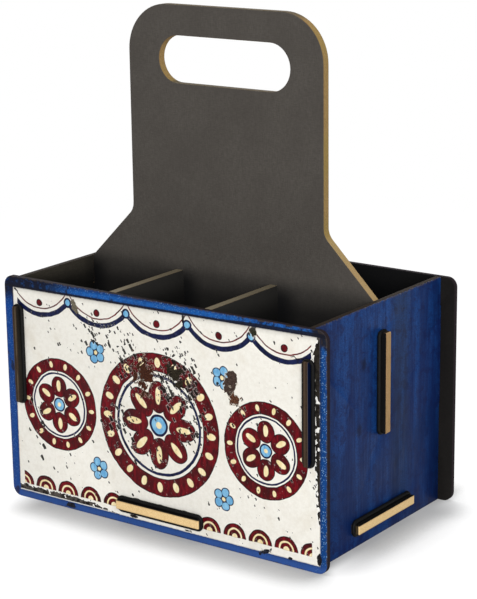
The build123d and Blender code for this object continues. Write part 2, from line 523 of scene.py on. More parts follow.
# round-petalled flowers between the rosettes
flower = panelArt["flower"]
for overV in flower["rows"]:
    away = b.far(mirrored, v, flower["u"], overV)
    folded = b.calc("PINGPONG", angleRound(mirrored, flower["u"], overV), math.pi / flower["petals"])
    along, aside = alongAndAside(away, folded)
    petal = b.far(along, aside, flower["petalAt"], 0.0)
    lay(inside(petal, flower["petal"]), navy)
    lay(inside(petal, flower["petal"] - flower["outlineWide"]), sky)
    lay(inside(away, flower["boss"]), navy)
    lay(inside(away, flower["bossHeart"]), gold)

# scalloped hem: maroon half discs, each with a pale arc and a pale heart
hem = panelArt["hem"]
swing = b.calc("PINGPONG", b.plus(mirrored, hem["half"]), hem["half"])
scallop = b.far(swing, v, hem["half"], hem["foot"])
overHem = b.times(b.rise(v, hem["foot"] - 0.4, hem["foot"]), inField)
lay(b.times(inside(scallop, hem["radius"] + hem["outlineWide"]), overHem), outline)
lay(b.times(inside(scallop, hem["radius"]), overHem), maroon)
lay(b.times(band(scallop, hem["arc"], hem["arcWide"]), overHem), gold)
lay(b.times(inside(scallop, hem["heart"]), overHem), gold)

b.plug(give["Color"], b.coats(take["Ground"], layers))
b.plug(give["Paint"], b.most(*[mask for mask, _ in layers]))
print("panel design made:", len(layers), "layers")

# printed board: front and back panels

printedBoard = {
    "cream": shade(241, 238, 229), "creamShade": shade(223, 218, 206), "stain": shade(205, 192, 168),
    "pit": shade(24, 21, 19), "flake": shade(246, 245, 240), "chipRim": shade(250, 248, 242),
    "lossLight": shade(46, 42, 36), "footLossLight": shade(84, 78, 73),
    "patchRim": shade(232, 222, 204), "fieldEdgeShadow": shade(96, 92, 90),
    "edge": {"Light": shade(46, 37, 40), "Dark": shade(31, 26, 31), "Rim": shade(18, 15, 18), "Scorch": 0.8},
    "edgeHighlight": shade(92, 88, 92),
    "inner": {"Light": shade(33, 31, 29), "Dark": shade(23, 21, 20)},
    "cellShadeTint": shade(12, 14, 17), "deepCellShadeTint": shade(5, 7, 10),
    "specular": 0.08, "bump": (0.6, 0.00012),  # strength, metres
    # the cream field: its foot, its head and the slope of its top line, as the print sits a little askew
    "fieldFoot": 4.6, "fieldHead": 136.6, "askew": 0.0125,
    # width of the blue border: low and high on the left, then on the right
    "borderLow": 6.2, "borderHigh": 6.9, "borderRight": 4.4,
    # chips and specks: size, least amount away from the drifts, amount in them
    "chips": {"scale": 0.36, "least": 0.025, "amount": 1.05},
    "specks": {"scale": 0.68, "least": 0.08, "amount": 0.9},
    # drifts of them: place, half width, half height, thickness
    "drifts": (
        (-42, 116, 26, 9, 0.5), (-20, 99, 15, 15, 0.55), (16, 97, 17, 22, 0.8), (26, 70, 16, 16, 0.4),
        (-30, 62, 16, 15, 0.42), (-12, 46, 18, 10, 0.36), (-96, 48, 9, 24, 0.22), (54, 92, 18, 12, 0.22),
    ),
    # losses in from the right edge, by steps up the panel as from, to, first and last reach
    "rightLoss": {
        "edge": 113.3, "uneven": 2.6, "flakes": {"Scale": 0.6, "Jump": 1.9},
        "steps": ((22.0, 42.0, -0.8, 2.4), (42.0, 80.0, 0.0, 1.1), (117.0, 122.0, 0.0, 1.6)),
        "head": (138.0, 125.0, 0.3, 1.0),
    },
    # losses up from the foot, by steps from left to right
    "footLoss": {
        "uneven": 3.0, "flakes": {"Scale": 0.8, "Jump": 1.2, "Left": 0.06},
        "reach": (-60.0, -34.0, 2.3, -1.0), "end": (-34.0, -22.0, 0.0, 9.0),
    },
    # crack down to the head of the right tab
    "crack": {"from": 92.0, "height": 134.0, "slope": -0.12, "wander": 4.0},
    # bare patches: place, half width and half height, turn in degrees, raggedness, two tints
    "rimmedPatches": {
        "rust": (-10.0, 97.0, 7.0, 9.0, 24, 20.0, shade(46, 26, 19), shade(76, 42, 27)),
        "oval": (52.5, 102.0, 4.3, 7.6, -10, 4.0, shade(50, 39, 36), shade(78, 62, 54)),
        "ovalFoot": (56.0, 91.5, 2.6, 4.2, 20, 9.0, shade(60, 36, 28), shade(104, 68, 48)),
        "bite": (68.5, 134.6, 2.4, 3.2, 0, 3.0, shade(26, 28, 20), shade(54, 52, 38)),
    },
    "plainPatches": {
        "slashes": (12.5, 100.0, 3.6, 9.0, 40, 16.0, shade(26, 22, 16), shade(52, 46, 34)),
        "scrape": (-62.0, 130.5, 1.9, 4.6, 24, 2.4, shade(92, 84, 70), shade(122, 114, 98)),
        "nick": (19.5, 134.6, 0.7, 3.0, 0, 1.0, shade(22, 20, 20), shade(40, 36, 32)),
    },
    "borderPatches": {
        "footMark": (75.5, 5.2, 3.2, 1.5, 28, 9.0, shade(14, 14, 18), shade(44, 46, 58)),
        "footNick": (93.0, 5.0, 1.8, 0.9, 0, 1.6, shade(20, 20, 24), shade(30, 30, 34)),
        "footPatch": (-70.0, 2.3, 4.0, 1.5, 0, 5.0, shade(16, 16, 20), shade(38, 38, 48)),
        "footCorner": (-114.0, 3.4, 2.2, 3.0, 35, 3.0, shade(12, 22, 60), shade(22, 44, 100)),
        "footScrap": (-21.0, 5.9, 3.4, 0.8, 0, 4.0, shade(18, 16, 16), shade(46, 42, 40)),
        "footFleck": (19.5, 5.6, 2.4, 0.5, 0, 3.0, shade(30, 28, 26), shade(60, 56, 50)),
        "cornerMark": (112.3, 8.4, 1.4, 3.6, 0, 2.0, shade(12, 12, 15), shade(32, 30, 34)),
        "leftMark": (-107.5, 133.3, 2.1, 0.8, -30, 3.0, shade(22, 22, 28), shade(52, 50, 50)),
    },
}
printedFinish, b, surface, place = newFinish("printedBoardFinish", printedBoard["specular"])
x, y, z = b.split(place)
outward = b.calc("SIGN", y)
u = b.times(x, b.times(outward, -1.0))  # left to right as seen from outside
panel = b.join(u, outward, z)
across = b.size(u)
depth = b.size(y)
isFront = b.rise(y, 0.0, -1.0)

ground = b.noise(panel, 0.5, 4.0, 0.62)
stain = b.noise(panel, 0.045, 3.0, 0.6, 0.4)
cream = b.tone(b.rise(ground, 0.35, 0.7, 0.0, 0.4), printedBoard["cream"], printedBoard["creamShade"])
cream = b.tone(b.rise(stain, 0.5, 0.8, 0.0, 0.35), cream, printedBoard["stain"])
art = b.use(artGroup, Place=panel, Ground=cream)
worn = b.rise(b.noise(panel, 0.7, 4.0, 0.7), 0.64, 0.76, 0.0, 0.35)  # paint rubbed thin
face = b.tone(b.times(worn, art["Paint"]), art["Color"], cream)

# black specks and slanting chips, in a few thick drifts and thin between them
drifts = []
for overU, overV, halfWide, halfHigh, much in printedBoard["drifts"]:
    du = b.calc("DIVIDE", b.less(u, overU), halfWide)
    dv = b.calc("DIVIDE", b.less(z, overV), halfHigh)
    drifts.append(b.rise(b.scaled(du, du, b.times(dv, dv)), 1.5, 0.1, 0.0, much))
drift = b.most(*drifts)
patchy = b.rise(b.noise(panel, 0.1), 0.35, 0.6, 0.25, 1.0)
flecks = []
for spec in (printedBoard["chips"], printedBoard["specks"]):
    amount = b.times(b.most(drift, spec["least"]), patchy, spec["amount"])
    flecks.append(b.use(chipGroup, Place=panel, Amount=amount, Scale=spec["scale"]))
chipped = b.most(*[fleck["Chip"] for fleck in flecks])
chipRim = b.most(*[fleck["Rim"] for fleck in flecks])

# edges of the field: distance in from the border, a little uneven
borderLeft = b.rise(z, 10.0, 135.0, printedBoard["borderLow"], printedBoard["borderHigh"])
borderWide = b.rise(u, -60.0, 60.0, borderLeft, printedBoard["borderRight"])
fieldAcross = b.less(b.less(boxSide, across), borderWide)
fieldLow = b.less(z, printedBoard["fieldFoot"])
fieldHigh = b.less(b.scaled(u, printedBoard["askew"], printedBoard["fieldHead"]), z)
inward = b.least(fieldAcross, fieldLow, fieldHigh)
uneven = b.scaled(b.noise(panel, 0.6), 0.5, -0.25)
onField = b.rise(b.plus(inward, uneven), -0.12, 0.12)

# blocky black losses up the right edge and at the upper right corner
spec = printedBoard["rightLoss"]
reach = b.plus(*[b.rise(z, *step) for step in spec["steps"]])
reach = b.times(reach, b.rise(z, *spec["head"]))
reach = b.scaled(b.less(b.noise(b.join(z), 0.12), 0.5), spec["uneven"], reach)
reach = b.less(reach, b.less(spec["edge"], u))
bitsLeft = b.times(b.rise(z, 114.0, 98.0, 0.0, 0.27), b.rise(z, 66.0, 76.0, 0.15, 1.0))
rightLoss = b.use(flakedGroup, Place=panel, Reach=reach, Left=bitsLeft, **spec["flakes"])

# and along the foot on the left, where a sliver of cream is left below them
spec = printedBoard["footLoss"]
reach = b.scaled(b.noise(b.join(u), 0.09), spec["uneven"], b.rise(u, *spec["reach"]))
reach = b.less(reach, b.plus(fieldLow, b.rise(u, *spec["end"])))
footLoss = b.use(flakedGroup, Place=panel, Reach=reach, **spec["flakes"])
footSliver = b.times(b.rise(u, -30.0, -50.0), b.rise(b.plus(fieldLow, uneven), 0.75, 0.55), 0.9)
lossMask = b.most(rightLoss["Gone"], footLoss["Gone"])
lossRim = b.most(rightLoss["Rim"], footLoss["Rim"])
flakes = b.most(rightLoss["Kept"], footLoss["Kept"], footSliver)
lossLight = b.tone(footLoss["Gone"], printedBoard["lossLight"], printedBoard["footLossLight"])
lossTint = b.tone(b.rise(ground, 0.38, 0.6), printedBoard["pit"], lossLight)

# fine crack running in from the right
spec = printedBoard["crack"]
crackLine = b.noise(b.join(b.times(u, 0.3)), 1.0, 3.0)
crackLine = b.scaled(crackLine, spec["wander"], b.scaled(u, spec["slope"], spec["height"]))
crack = b.times(b.rise(b.apart(z, crackLine), 0.5, 0.25), b.rise(u, spec["from"], spec["from"] + 4))

# bare patches, on the front panel alone
ragged = b.noise(panel, 0.2, 4.0, 0.6, 0.8)
grit = b.rise(b.noise(panel, 1.3, 3.0, 0.7), 0.4, 0.6)


def barePatch(overU, overV, halfWide, halfHigh, turn, tear, dark, light):
    # its tint, its mask and the distance out from its ragged edge
    moved = b.join(b.less(u, overU), b.less(z, overV))
    leaned = b.lean(moved, turn, halfHigh / halfWide)
    away = b.add("ShaderNodeVectorMath", {"operation": "LENGTH"}, {0: leaned}).outputs["Value"]
    away = b.less(b.scaled(b.less(ragged, 0.5), tear * 2, away), halfWide)
    return b.tone(grit, dark, light), b.times(b.rise(away, 0.1, -0.1), isFront), away


face = b.tone(b.times(chipRim, 0.3), face, printedBoard["chipRim"])
face = b.tone(b.times(b.most(chipped, crack), 0.96), face, printedBoard["pit"])
bared = []
for spot in printedBoard["rimmedPatches"].values():
    tint, mask, away = barePatch(*spot)
    rim = b.times(b.rise(away, 0.75, 0.15, 0.0, 0.6), isFront)
    face = b.coats(face, ((rim, printedBoard["patchRim"]), (mask, tint)))
    bared.append(mask)
for spot in printedBoard["plainPatches"].values():
    tint, mask, _ = barePatch(*spot)
    face = b.tone(mask, face, tint)
    bared.append(mask)
# painted shadow along the edge of the field, widest under the top border
fieldEdgeShadow = b.plus(b.rise(fieldHigh, 3.2, 0.2, 0.0, 0.24), b.rise(inward, 0.9, 0.0, 0.0, 0.35))
face = b.coats(face, (
    (b.times(lossRim, 0.8), printedBoard["flake"]),
    (lossMask, lossTint),
    (flakes, printedBoard["flake"]),
    (fieldEdgeShadow, printedBoard["fieldEdgeShadow"]),
))

# blue border: speckled, mottled black at the top left, black at the top right corner, plain along the foot

blueBorder = {
    "stain": {"Light": shade(13, 68, 134), "Dark": shade(9, 34, 82), "Bands": 0.18},
    "lit": shade(30, 98, 178), "foot": shade(64, 94, 162), "leftEnd": shade(6, 66, 150),
    "topLeft": shade(9, 10, 24), "topRight": shade(11, 13, 30),
    "corner": (shade(20, 18, 20), shade(62, 50, 34)), "patches": shade(20, 20, 34),
    "innerLine": shade(18, 24, 52), "topLine": shade(16, 18, 30), "edgeWear": shade(70, 58, 42),
}
specked = b.plus(b.rise(z, 3.0, 9.0, 0.08, 0.85), b.rise(u, 108.0, 112.0, 0.0, 0.4))
blue = b.use(blueGroup, Place=panel, Specks=specked, **blueBorder["stain"])
mottle = b.noise(panel, 0.26, 4.0, 0.72, 0.5)
# painted highlight: a paler stripe along the middle of the border, strongest near the top
lit = b.times(b.rise(b.apart(inward, -2.9), 2.2, 0.5), b.rise(ground, 0.3, 0.6, 0.25, 0.7),
              b.rise(z, 124.0, 135.0, 0.2, 1.0))
topLeft = b.times(b.rise(b.scaled(mottle, 30.0, u), -42.0, -72.0), b.rise(z, 122.0, 134.0),
                  b.rise(mottle, 0.34, 0.5, 0.55, 1.0), 0.97)
topRight = b.times(b.rise(u, 46.0, 62.0), b.rise(z, 130.0, 136.0), b.rise(mottle, 0.46, 0.62), 0.85)
corner = b.rise(b.scaled(mottle, 9.0, b.far(u, z, boxSide, boxTop)), 16.5, 12.5, 0.0, 0.95)
cornerTint = b.tone(b.rise(mottle, 0.45, 0.7), *blueBorder["corner"])
patches = b.noise(b.pull(panel, (1.0, 1.0, 0.4)), 0.11, 3.0, 0.6)
patches = b.times(b.rise(patches, 0.63, 0.67), b.rise(z, 9.0, 60.0), 0.8)
innerLine = b.times(b.rise(b.apart(inward, -0.5), 0.6, 0.1), b.rise(z, 20.0, 134.0, 0.25, 0.8))
lineHalf = b.rise(u, 40.0, 75.0, 0.7, 1.15)
topLine = b.less(b.size(b.plus(fieldHigh, lineHalf)), lineHalf)
outer = b.least(b.less(boxSide, across), z, b.less(boxTop, z))
edgeWear = b.times(b.rise(outer, 1.1, 0.1), b.rise(mottle, 0.42, 0.62), 0.8)
border = b.coats(blue["Color"], (
    (lit, blueBorder["lit"]),
    # painted light from the floor: the border paler towards its foot
    (b.rise(z, 8.0, 2.0, 0.0, 0.5), blueBorder["foot"]),
    (b.rise(u, -108.0, -112.0, 0.0, 0.45), blueBorder["leftEnd"]),
    (topLeft, blueBorder["topLeft"]),
    (topRight, blueBorder["topRight"]),
    (corner, cornerTint),
    (patches, blueBorder["patches"]),
    (innerLine, blueBorder["innerLine"]),
    (b.rise(topLine, 0.25, -0.2, 0.0, 0.9), blueBorder["topLine"]),
    (edgeWear, blueBorder["edgeWear"]),
))
face = b.tone(onField, border, face)
for spot in printedBoard["borderPatches"].values():
    tint, mask, _ = barePatch(*spot)
    face = b.tone(mask, face, tint)

# sawn edge, and inner face with painted shade inside the cells
offset = b.calc("DIVIDE", b.less(depth, panelMiddle), outerHalf)
raw = b.use(fibreGroup, Place=place, Across=offset, **printedBoard["edge"])
# painted highlight: a pale broken line where the face meets the eased edge
edgeHighlight = b.times(b.rise(b.apart(depth, panelFace - 0.3), 0.22, 0.05), b.rise(ground, 0.35, 0.6, 0.1, 0.55))
rawTint = b.tone(edgeHighlight, raw["Color"], printedBoard["edgeHighlight"])
back = b.use(rolledGroup, Place=place, **printedBoard["inner"])
inCells = b.rise(across, sideInner + 1.5, sideInner - 0.5)
deepCellShade = b.times(inCells, b.rise(z, 138.0, 126.0), b.rise(z, 60.0, 122.0, 0.15, 0.5))
backTint = b.coats(back["Color"], (
    (b.times(inCells, 0.6), printedBoard["cellShadeTint"]),
    (deepCellShade, printedBoard["deepCellShadeTint"]),
))

isFace, isBack = b.boardSides(depth, panelFace, panelInner)
b.plug(surface["Base Color"], b.coats(rawTint, ((isFace, face), (isBack, backTint))))
hurt = b.times(b.most(chipped, b.times(lossMask, b.without(flakes)), *bared, crack), onField, isFace)
shine = b.tone(hurt, b.rise(ground, 0.3, 0.7, 0.3, 0.42), grey(0.8))
b.plug(surface["Roughness"], b.coats(raw["Rough"], ((isFace, shine), (isBack, back["Rough"]))))
relief = b.scaled(hurt, -1.0, b.times(art["Paint"], onField, 0.25))
relief = b.scaled(ground, 0.12, relief)
b.plug(surface["Normal"], b.bump(relief, *printedBoard["bump"]))
print("printed board finish made")

# blue board: the two side panels

blueBoard = {
    "stain": {"Light": shade(26, 74, 140), "Dark": shade(15, 28, 72), "Bands": 0.66},
    "fade": shade(14, 20, 62), "dull": (shade(16, 28, 44), shade(42, 44, 36)), "dullAt": 22.0,
    "low": shade(6, 38, 82), "rubbed": shade(88, 76, 60), "tab": shade(8, 9, 26),
    "edge": {"Light": shade(70, 56, 45), "Dark": shade(45, 35, 28), "Rim": shade(30, 24, 20), "Scorch": 0.7},
    "topEdge": shade(46, 42, 39), "tabEnd": (shade(102, 92, 75), shade(87, 71, 57)),
    "tabEdgeHighlight": shade(132, 118, 106),
    "inner": {"Light": shade(66, 62, 54), "Dark": shade(47, 44, 39)},
    "specular": 0.05, "bump": (0.35, 0.0001),  # strength, metres
}
blueFinish, b, surface, place = newFinish("blueBoardFinish", blueBoard["specular"])
x, y, z = b.split(place)
depth = b.size(x)
alongSide = b.size(y)
blue = b.use(blueGroup, Place=place, **blueBoard["stain"])
dull = b.times(b.rise(b.apart(y, blueBoard["dullAt"]), 14.0, 4.0), b.rise(z, 11.0, 20.0), 0.4)
dullTint = b.tone(b.rise(z, 45.0, 75.0), *blueBoard["dull"])
fromEnd = b.least(b.less(boxTop, z), b.plus(z, 0.3))
rubbed = b.times(b.rise(fromEnd, 1.2, 0.2), b.rise(b.noise(place, 0.5, 4.0, 0.7), 0.45, 0.6), 0.7)
side = b.coats(blue["Color"], (
    (b.rise(b.scaled(z, -0.5, alongSide), -60.0, 60.0, 0.0, 0.45), blueBoard["fade"]),
    (dull, dullTint),  # a duller band behind the tabs
    (b.times(b.rise(z, 70.0, 50.0), b.rise(z, 12.0, 22.0), 0.25), blueBoard["low"]),
    (rubbed, blueBoard["rubbed"]),
    # painted shade on the tabs that stand out past the front and back panels
    (b.rise(alongSide, panelFace - 0.2, panelFace + 0.4, 0.0, 0.85), blueBoard["tab"]),
))

# sawn edges, paler at the ends of the tabs, with a painted highlight where a tab's end meets its outer face
offset = b.calc("DIVIDE", b.less(depth, sideMiddle), outerHalf)
raw = b.use(fibreGroup, Place=place, Across=offset, **blueBoard["edge"])
atTip = b.rise(alongSide, frontTip - 0.9, frontTip - 0.3)
fibres = b.rise(b.noise(b.pull(place, (1.0, 1.0, 0.1)), 0.8), 0.35, 0.6, 0.15, 0.65)
tabEnd = b.times(atTip, b.rise(b.apart(depth, sideInner + 1.4), 0.75, 0.15), fibres)
tabEndTint = b.tone(b.rise(x, -50.0, 50.0), *blueBoard["tabEnd"])
tabEdgeHighlight = b.times(b.rise(b.apart(depth, sideFace - 0.22), 0.16, 0.04), atTip, 0.6)
rawTint = b.coats(raw["Color"], (
    (b.rise(z, boxTop - 0.8, boxTop - 0.3, 0.0, 0.6), blueBoard["topEdge"]),
    (tabEnd, tabEndTint),
    (tabEdgeHighlight, blueBoard["tabEdgeHighlight"]),
))

# inner face, with painted shade: darker with depth and beside the handle panel
back = b.use(rolledGroup, Place=place, **blueBoard["inner"])
cellWallShade = cellShadeMask(z, boxTop, boxTop - 14, 0.72)
handleSideShade = b.rise(alongSide, 13.0, 4.0, 0.0, 0.35)
backTint = b.coats(back["Color"], ((cellWallShade, cellPaintedShade["tint"]), (handleSideShade, cellPaintedShade["tint"])))

isFace, isBack = b.boardSides(depth, sideFace, sideInner)
b.plug(surface["Base Color"], b.coats(rawTint, ((isFace, side), (isBack, backTint))))
b.plug(surface["Roughness"], b.coats(raw["Rough"], ((isFace, blue["Rough"]), (isBack, back["Rough"]))))
b.plug(surface["Normal"], b.bump(blue["Height"], *blueBoard["bump"]))

# dark boards: handle panel, dividers and base, with dark faces and raw edges

darkBoards = {
    "handleBoardFinish": {
        "axis": 1, "middle": 0.0, "paint": {"Light": shade(86, 82, 77), "Dark": shade(67, 63, 59)},
        "raw": {"Light": shade(174, 144, 95), "Dark": shade(130, 105, 65), "Scorch": 0.45},
        "cellShadeDepths": ((150.0, 138.0, 0.55), (140.0, 126.0, 0.62)),
        "cornerShadeDepth": (146.0, 134.0, 0.85), "shadedOuterCorner": (-88.0, -103.0),
        "shadedDividerCorners": ((-16.0, -31.0, -33.0), (58.0, 40.0, 37.0)),
        "rawUpper": shade(146, 126, 70), "rawTab": shade(182, 146, 106), "rawShoulder": shade(184, 160, 120),
        "rawFacingUpShade": shade(84, 78, 68), "holeFoot": (258.4, 257.0), "holeEnd": (46.0, 40.0),
    },
    "dividerBoardFinish": {
        "axis": 0, "middle": dividerMiddle, "paint": {"Light": shade(42, 40, 38), "Dark": shade(30, 29, 27)},
        "raw": {"Light": shade(146, 136, 114), "Dark": shade(112, 102, 84), "Scorch": 0.5},
        "cellShadeDepths": ((138.0, 124.0, 0.58),),
        "rimPaintedLight": shade(56, 55, 53), "rawMiddle": shade(80, 72, 56),
    },
    "baseBoardFinish": {
        "axis": 2, "middle": baseMiddle, "paint": {"Light": shade(60, 57, 53), "Dark": shade(44, 41, 38)},
        "raw": {"Light": shade(244, 214, 160), "Dark": shade(220, 184, 128), "Scorch": 0.3},
        "cellShadeDepths": (),
    },
}
allDark = {
    "cloud": 0.4, "tab": shade(11, 10, 10), "tabCorner": shade(20, 15, 12),
    "specular": 0.1, "bump": (0.4, 0.00012),  # strength, metres
}
darkFinishes = {}
for name, spec in darkBoards.items():
    darkFinishes[name], b, surface, place = newFinish(name, allDark["specular"])
    x, y, z = b.split(place)
    across = b.size(x)
    depth = b.size(y)
    coordinate = (x, y, z)[spec["axis"]]
    if name == "dividerBoardFinish":
        coordinate = across  # one on each side of the middle
    offset = b.calc("DIVIDE", b.less(coordinate, spec["middle"]), innerHalf)
    paint = b.use(rolledGroup, Place=place, Cloud=allDark["cloud"], **spec["paint"])
    raw = b.use(fibreGroup, Place=place, Across=offset, **spec["raw"])
    beyondBox = b.most(b.rise(across, sideFace - 0.8, sideFace - 0.1),
                       b.rise(depth, panelFace - 0.7, panelFace - 0.1))
    faceTint = b.tone(b.times(beyondBox, 0.9), paint["Color"], allDark["tab"])
    rawTint = raw["Color"]
    if name == "dividerBoardFinish":
        # painted light: the faces of the dividers lighter towards their top
        faceTint = b.tone(b.rise(z, 118.0, boxTop, 0.0, 0.4), faceTint, spec["rimPaintedLight"])
        rawTint = b.tone(b.rise(depth, 62.0, 28.0, 0.2, 0.5), rawTint, spec["rawMiddle"])
    # painted shade: the faces darker the deeper they stand in the cells
    for start, full, much in spec["cellShadeDepths"]:
        faceTint = b.tone(cellShadeMask(z, start, full, much), faceTint, cellPaintedShade["tint"])
    if name == "handleBoardFinish":
        # painted shade in the corners of the cells that are on the left as seen from outside
        u = b.times(x, b.calc("SIGN", y), -1.0)
        dark = [b.rise(u, *spec["shadedOuterCorner"])]
        for start, full, wall in spec["shadedDividerCorners"]:
            dark.append(b.times(b.rise(u, start, full), b.rise(u, wall, wall + 1)))
        dark = b.times(b.most(*dark), cellShadeMask(z, *spec["cornerShadeDepth"]))
        faceTint = b.tone(dark, faceTint, cellPaintedShade["tint"])
        # raw edge: cloudy above the box, streaked on the tabs, pale at the shoulders, with painted shade
        # where it faces up
        cloudy = b.times(b.rise(b.noise(place, 0.03), 0.4, 0.65), b.rise(z, 130.0, 150.0), 0.6)
        grain = b.rise(b.noise(b.pull(place, (1.0, 1.0, 0.06)), 1.6, 3.0, 0.6), 0.35, 0.65, 0.25, 0.75)
        shoulder = b.times(b.rise(across, 70.8, 74.0), b.rise(z, boxTop - 1, boxTop + 1), 0.35)
        holeFoot = b.times(b.rise(z, *spec["holeFoot"]), b.rise(across, *spec["holeEnd"]))
        facingUpShade = b.most(b.rise(z, handleTop - 5.5, handleTop - 0.3), holeFoot)
        rawTint = b.coats(rawTint, (
            (cloudy, spec["rawUpper"]),
            (b.times(grain, b.rise(z, 130.0, 126.0)), spec["rawTab"]),
            (shoulder, spec["rawShoulder"]),
            (b.times(facingUpShade, 0.8), spec["rawFacingUpShade"]),
        ))
    fromTip = b.most(b.less(across, sideTip), b.less(depth, frontTip))
    rawTint = b.tone(b.times(beyondBox, b.rise(fromTip, -0.35, -0.75), 0.93), rawTint, allDark["tabCorner"])
    isFace = b.rise(b.size(offset), 0.93, 0.98)
    b.plug(surface["Base Color"], b.tone(isFace, rawTint, faceTint))
    b.plug(surface["Roughness"], b.tone(isFace, raw["Rough"], paint["Rough"]))
    height = b.tone(isFace, raw["Height"], paint["Height"])
    b.plug(surface["Normal"], b.bump(height, *allDark["bump"]))

# black rubber of the rings

ringRubber = {
    "black": shade(11, 11, 11), "dusty": shade(36, 35, 32), "smooth": 0.5, "rough": 0.72,
    "specular": 0.14, "bump": (0.3, 0.00005),  # strength, metres
}
rubberFinish, b, surface, place = newFinish("ringRubberFinish", ringRubber["specular"])
dust = b.noise(place, 0.5, 4.0, 0.7)
pores = b.noise(place, 6.0, 2.0, 0.6)
rubber = b.tone(b.rise(dust, 0.5, 0.75, 0.0, 0.5), ringRubber["black"], ringRubber["dusty"])
b.plug(surface["Base Color"], rubber)
b.plug(surface["Roughness"], b.rise(dust, 0.3, 0.7, ringRubber["smooth"], ringRubber["rough"]))
b.plug(surface["Normal"], b.bump(pores, *ringRubber["bump"]))
print("board and rubber finishes made")


def handOver(piece, node, material):
    # the finished piece stands for its CAD node
    first, *others = node.split("_")
    piece.name = first + "".join(part.capitalize() for part in others)
    piece.data.name = piece.name
    dress(piece, material)
    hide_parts(node)
    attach(piece, "root")


def copied(piece):
    bpy.ops.object.select_all(action="DESELECT")
    piece.select_set(True)
    bpy.context.view_layer.objects.active = piece
    bpy.ops.object.duplicate()
    return bpy.context.object


# boards: copies of the CAD pieces with eased edges

easing = {"merge": 0.000005, "flat": 0.5, "segments": 2, "corner": 40, "smooth": 25}  # metres, degrees
boards = {  # material, slot and ease in millimetres
    "front_panel": (printedFinish, "printed_board", 0.35),
    "back_panel": (printedFinish, "printed_board", 0.35),
    "left_panel": (blueFinish, "blue_board", 0.3),
    "right_panel": (blueFinish, "blue_board", 0.3),
    "base_panel": (darkFinishes["baseBoardFinish"], "dark_board", 0.3),
    "handle_panel": (darkFinishes["handleBoardFinish"], "dark_board", 0.4),
    "divider_left": (darkFinishes["dividerBoardFinish"], "dark_board", 0.3),
    "divider_right": (darkFinishes["dividerBoardFinish"], "dark_board", 0.3),
}
for node, (material, slot, ease) in boards.items():
    piece = copied(nodes[node])
    del piece["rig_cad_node"]
    piece.parent = None
    bpy.ops.object.mode_set(mode="EDIT")
    bpy.ops.mesh.select_all(action="SELECT")
    bpy.ops.mesh.remove_doubles(threshold=easing["merge"])
    bpy.ops.mesh.dissolve_limited(angle_limit=math.radians(easing["flat"]))
    bpy.ops.mesh.select_all(action="DESELECT")
    bpy.ops.object.mode_set(mode="OBJECT")
    eased = piece.modifiers.new("easedEdges", "BEVEL")
    eased.width = ease / 1000
    eased.segments = easing["segments"]
    eased.limit_method = "ANGLE"
    eased.angle_limit = math.radians(easing["corner"])
    bpy.ops.object.modifier_apply(modifier=eased.name)
    bpy.ops.object.shade_smooth_by_angle(angle=math.radians(easing["smooth"]))
    handOver(piece, node, material)
print("boards eased")

# rubber rings: one of each size is a torus pulled out round its tab, the rest are copies of it

ringShape = {"cord": 2.4, "bend": 2.8, "steps": 64, "sides": 20}  # millimetres and counts
ringNodes = (
    "ring_front_left", "ring_front_right", "ring_front_base", "ring_back_left", "ring_back_right",
    "ring_back_base", "ring_left_handle", "ring_left_base", "ring_right_handle", "ring_right_base",
)


def stretchedRing(middle, size):
    through = min(range(3), key=lambda axis: size[axis])  # the way that the tab points
    turn = [0, 0, 0]
    turn[1 - through] = math.radians(90)
    bpy.ops.object.select_all(action="DESELECT")
    bpy.ops.mesh.primitive_torus_add(
        align="WORLD", location=middle, rotation=turn, major_segments=ringShape["steps"],
        minor_segments=ringShape["sides"], major_radius=ringShape["bend"] / 1000,
        minor_radius=ringShape["cord"] / 2000)
    piece = bpy.context.object
    reach = (ringShape["bend"] + ringShape["cord"] / 2) / 1000
    bpy.ops.object.transform_apply(location=True, rotation=True, scale=True)
    bpy.ops.object.mode_set(mode="EDIT")
    bpy.ops.mesh.select_all(action="SELECT")
    halfStep = math.radians(360 / ringShape["steps"] / 2)  # so that no step lies on a line of symmetry
    bpy.ops.transform.rotate(value=halfStep, orient_axis="XY"[through], center_override=middle)
    for axis in (1 - through, 2):
        for side in (-1, 1):
            bpy.ops.mesh.select_all(action="DESELECT")
            bpy.ops.object.mode_set(mode="OBJECT")
            for vertex in piece.data.vertices:
                vertex.select = (vertex.co[axis] - middle[axis]) * side > 0
            bpy.ops.object.mode_set(mode="EDIT")
            pulled = [0.0, 0.0, 0.0]
            pulled[axis] = side * (size[axis] / 2 - reach)
            bpy.ops.transform.translate(value=pulled)
    bpy.ops.object.mode_set(mode="OBJECT")
    bpy.ops.object.shade_smooth()
    return piece


rings = {}
firstOfSize = {}
for node in ringNodes:
    low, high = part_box(node)
    middle = (low + high) / 2
    size = high - low
    sizeKey = tuple(round(part * 1000, 1) for part in size)
    if sizeKey in firstOfSize:
        first, firstMiddle = firstOfSize[sizeKey]
        rings[node] = copied(first)
        rings[node].location = middle - firstMiddle
        bpy.ops.object.transform_apply(location=True, rotation=False, scale=False)
    else:
        rings[node] = stretchedRing(middle, size)
        firstOfSize[sizeKey] = (rings[node], middle)
for node, piece in rings.items():
    handOver(piece, node, rubberFinish)
print("rings made:", len(firstOfSize), "sizes")

# floor, light, camera

